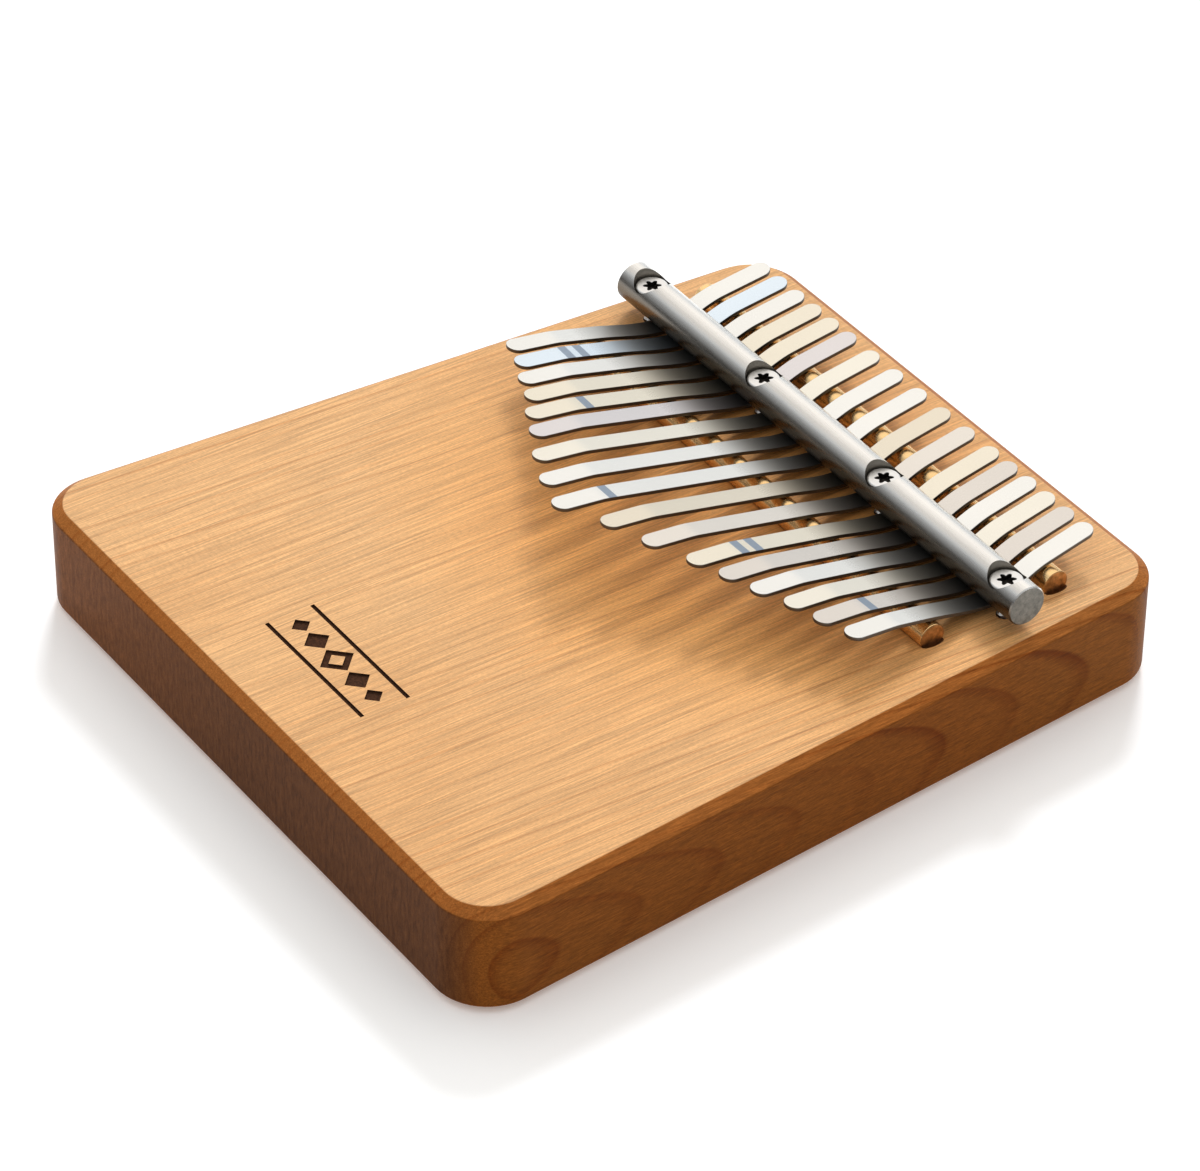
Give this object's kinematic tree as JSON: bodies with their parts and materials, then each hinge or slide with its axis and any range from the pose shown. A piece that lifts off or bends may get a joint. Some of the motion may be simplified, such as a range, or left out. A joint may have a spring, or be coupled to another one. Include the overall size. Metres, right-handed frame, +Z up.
{
  "type": "board kalimba",
  "caption": "Tapered wooden board kalimba: flat spring-steel tines over two brass bridge rods under a round screwed pressure bar.",
  "frame": {"origin": "under the middle of the board, on the surface it rests on", "axes": "+X across the board to the player's right, +Y along the tines from the player to the far end, +Z up out of the board's face"},
  "size_m": [0.1662, 0.18, 0.0426],
  "materials": {
    "cherry_wood": "oiled and fine-sanded cherry, straight fine grain along the tines",
    "brass_rod": "drawn brass, satin, sawn ends",
    "bar_steel": "satin turned round bar, brushed along its length",
    "screw_steel": "bright zinc, six-lobe drive",
    "spring_steel": "ground flat spring steel, fine satin"
  },
  "bodies": {
    "body_board": {"board": "cherry_wood", "front_bridge_rod": "brass_rod", "rear_bridge_rod": "brass_rod", "pressure_bar": "bar_steel", "bar_screws": "screw_steel"},
    "body_tine_01": {"tine_01": "spring_steel"},
    "body_tongue_01": {"tongue_01": "spring_steel"},
    "body_tine_02": {"tine_02": "spring_steel"},
    "body_tongue_02": {"tongue_02": "spring_steel"},
    "body_tine_03": {"tine_03": "spring_steel"},
    "body_tongue_03": {"tongue_03": "spring_steel"},
    "body_tine_04": {"tine_04": "spring_steel"},
    "body_tongue_04": {"tongue_04": "spring_steel"},
    "body_tine_05": {"tine_05": "spring_steel"},
    "body_tongue_05": {"tongue_05": "spring_steel"},
    "body_tine_06": {"tine_06": "spring_steel"},
    "body_tongue_06": {"tongue_06": "spring_steel"},
    "body_tine_07": {"tine_07": "spring_steel"},
    "body_tongue_07": {"tongue_07": "spring_steel"},
    "body_tine_08": {"tine_08": "spring_steel"},
    "body_tongue_08": {"tongue_08": "spring_steel"},
    "body_tine_09": {"tine_09": "spring_steel"},
    "body_tongue_09": {"tongue_09": "spring_steel"},
    "body_tine_10": {"tine_10": "spring_steel"},
    "body_tongue_10": {"tongue_10": "spring_steel"},
    "body_tine_11": {"tine_11": "spring_steel"},
    "body_tongue_11": {"tongue_11": "spring_steel"},
    "body_tine_12": {"tine_12": "spring_steel"},
    "body_tongue_12": {"tongue_12": "spring_steel"},
    "body_tine_13": {"tine_13": "spring_steel"},
    "body_tongue_13": {"tongue_13": "spring_steel"},
    "body_tine_14": {"tine_14": "spring_steel"},
    "body_tongue_14": {"tongue_14": "spring_steel"},
    "body_tine_15": {"tine_15": "spring_steel"},
    "body_tongue_15": {"tongue_15": "spring_steel"},
    "body_tine_16": {"tine_16": "spring_steel"},
    "body_tongue_16": {"tongue_16": "spring_steel"},
    "body_tine_17": {"tine_17": "spring_steel"},
    "body_tongue_17": {"tongue_17": "spring_steel"}
  },
  "joints": [
    {"name": "tuning_slide_01", "type": "slide", "parent": "body_board", "child": "body_tine_01", "axis": [0.052, 0.9986, 0], "range_m": [-0.001, 0.001]},
    {"name": "pluck_01", "type": "hinge", "parent": "body_tine_01", "child": "body_tongue_01", "pos_m": [-0.05885, 0.03229, 0.03111], "axis": [0.9986, -0.052, 0], "range_deg": [-1.1, 1.7], "stiffness_Nm_per_rad": 7.144},
    {"name": "tuning_slide_02", "type": "slide", "parent": "body_board", "child": "body_tine_02", "axis": [0.0462, 0.9989, 0], "range_m": [-0.001, 0.001]},
    {"name": "pluck_02", "type": "hinge", "parent": "body_tine_02", "child": "body_tongue_02", "pos_m": [-0.05229, 0.03193, 0.0312], "axis": [0.9989, -0.0462, 0], "range_deg": [-1.2, 1.9], "stiffness_Nm_per_rad": 6.452},
    {"name": "tuning_slide_03", "type": "slide", "parent": "body_board", "child": "body_tine_03", "axis": [0.0404, 0.9992, 0], "range_m": [-0.001, 0.001]},
    {"name": "pluck_03", "type": "hinge", "parent": "body_tine_03", "child": "body_tongue_03", "pos_m": [-0.04574, 0.03141, 0.03132], "axis": [0.9992, -0.0404, 0], "range_deg": [-1.4, 2.2], "stiffness_Nm_per_rad": 5.645},
    {"name": "tuning_slide_04", "type": "slide", "parent": "body_board", "child": "body_tine_04", "axis": [0.0346, 0.9994, 0], "range_m": [-0.001, 0.001]},
    {"name": "pluck_04", "type": "hinge", "parent": "body_tine_04", "child": "body_tongue_04", "pos_m": [-0.03918, 0.03098, 0.03143], "axis": [0.9994, -0.0346, 0], "range_deg": [-1.5, 2.4], "stiffness_Nm_per_rad": 5.115},
    {"name": "tuning_slide_05", "type": "slide", "parent": "body_board", "child": "body_tine_05", "axis": [0.0288, 0.9996, 0], "range_m": [-0.001, 0.001]},
    {"name": "pluck_05", "type": "hinge", "parent": "body_tine_05", "child": "body_tongue_05", "pos_m": [-0.03261, 0.03035, 0.03159], "axis": [0.9996, -0.0288, 0], "range_deg": [-1.7, 2.7], "stiffness_Nm_per_rad": 4.492},
    {"name": "tuning_slide_06", "type": "slide", "parent": "body_board", "child": "body_tine_06", "axis": [0.023, 0.9997, 0], "range_m": [-0.001, 0.001]},
    {"name": "pluck_06", "type": "hinge", "parent": "body_tine_06", "child": "body_tongue_06", "pos_m": [-0.02604, 0.02983, 0.03172], "axis": [0.9997, -0.023, 0], "range_deg": [-1.9, 3], "stiffness_Nm_per_rad": 4.08},
    {"name": "tuning_slide_07", "type": "slide", "parent": "body_board", "child": "body_tine_07", "axis": [0.0153, 0.9999, 0], "range_m": [-0.001, 0.001]},
    {"name": "pluck_07", "type": "hinge", "parent": "body_tine_07", "child": "body_tongue_07", "pos_m": [-0.01737, 0.02905, 0.03191], "axis": [0.9999, -0.0153, 0], "range_deg": [-2.1, 3.4], "stiffness_Nm_per_rad": 3.593},
    {"name": "tuning_slide_08", "type": "slide", "parent": "body_board", "child": "body_tine_08", "axis": [0.0077, 1, 0], "range_m": [-0.001, 0.001]},
    {"name": "pluck_08", "type": "hinge", "parent": "body_tine_08", "child": "body_tongue_08", "pos_m": [-0.00869, 0.02841, 0.03207], "axis": [1, -0.0077, 0], "range_deg": [-2.3, 3.8], "stiffness_Nm_per_rad": 3.27},
    {"name": "tuning_slide_09", "type": "slide", "parent": "body_board", "child": "body_tine_09", "axis": [0, 1, 0], "range_m": [-0.001, 0.001]},
    {"name": "pluck_09", "type": "hinge", "parent": "body_tine_09", "child": "body_tongue_09", "pos_m": [0, 0.02796, 0.03218], "axis": [1, 0, 0], "range_deg": [-2.5, 4], "stiffness_Nm_per_rad": 3.072},
    {"name": "tuning_slide_10", "type": "slide", "parent": "body_board", "child": "body_tine_10", "axis": [-0.0077, 1, 0], "range_m": [-0.001, 0.001]},
    {"name": "pluck_10", "type": "hinge", "parent": "body_tine_10", "child": "body_tongue_10", "pos_m": [0.00869, 0.02884, 0.03196], "axis": [1, 0.0077, 0], "range_deg": [-2.2, 3.5], "stiffness_Nm_per_rad": 3.482},
    {"name": "tuning_slide_11", "type": "slide", "parent": "body_board", "child": "body_tine_11", "axis": [-0.0153, 0.9999, 0], "range_m": [-0.001, 0.001]},
    {"name": "pluck_11", "type": "hinge", "parent": "body_tine_11", "child": "body_tongue_11", "pos_m": [0.01737, 0.02945, 0.03181], "axis": [0.9999, 0.0153, 0], "range_deg": [-2, 3.2], "stiffness_Nm_per_rad": 3.828},
    {"name": "tuning_slide_12", "type": "slide", "parent": "body_board", "child": "body_tine_12", "axis": [-0.023, 0.9997, 0], "range_m": [-0.001, 0.001]},
    {"name": "pluck_12", "type": "hinge", "parent": "body_tine_12", "child": "body_tongue_12", "pos_m": [0.02603, 0.03018, 0.03163], "axis": [0.9997, 0.023, 0], "range_deg": [-1.8, 2.8], "stiffness_Nm_per_rad": 4.35},
    {"name": "tuning_slide_13", "type": "slide", "parent": "body_board", "child": "body_tine_13", "axis": [-0.0288, 0.9996, 0], "range_m": [-0.001, 0.001]},
    {"name": "pluck_13", "type": "hinge", "parent": "body_tine_13", "child": "body_tongue_13", "pos_m": [0.0326, 0.03067, 0.03151], "axis": [0.9996, 0.0288, 0], "range_deg": [-1.6, 2.6], "stiffness_Nm_per_rad": 4.792},
    {"name": "tuning_slide_14", "type": "slide", "parent": "body_board", "child": "body_tine_14", "axis": [-0.0346, 0.9994, 0], "range_m": [-0.001, 0.001]},
    {"name": "pluck_14", "type": "hinge", "parent": "body_tine_14", "child": "body_tongue_14", "pos_m": [0.03917, 0.03113, 0.03139], "axis": [0.9994, 0.0346, 0], "range_deg": [-1.5, 2.3], "stiffness_Nm_per_rad": 5.285},
    {"name": "tuning_slide_15", "type": "slide", "parent": "body_board", "child": "body_tine_15", "axis": [-0.0404, 0.9992, 0], "range_m": [-0.001, 0.001]},
    {"name": "pluck_15", "type": "hinge", "parent": "body_tine_15", "child": "body_tongue_15", "pos_m": [0.04573, 0.03168, 0.03126], "axis": [0.9992, 0.0404, 0], "range_deg": [-1.3, 2], "stiffness_Nm_per_rad": 6.033},
    {"name": "tuning_slide_16", "type": "slide", "parent": "body_board", "child": "body_tine_16", "axis": [-0.0462, 0.9989, 0], "range_m": [-0.001, 0.001]},
    {"name": "pluck_16", "type": "hinge", "parent": "body_tine_16", "child": "body_tongue_16", "pos_m": [0.05229, 0.03205, 0.03117], "axis": [0.9989, 0.0462, 0], "range_deg": [-1.2, 1.8], "stiffness_Nm_per_rad": 6.674},
    {"name": "tuning_slide_17", "type": "slide", "parent": "body_board", "child": "body_tine_17", "axis": [-0.052, 0.9986, 0], "range_m": [-0.001, 0.001]},
    {"name": "pluck_17", "type": "hinge", "parent": "body_tine_17", "child": "body_tongue_17", "pos_m": [0.05884, 0.0325, 0.03106], "axis": [0.9986, 0.052, 0], "range_deg": [-1, 1.6], "stiffness_Nm_per_rad": 7.653}
  ]
}
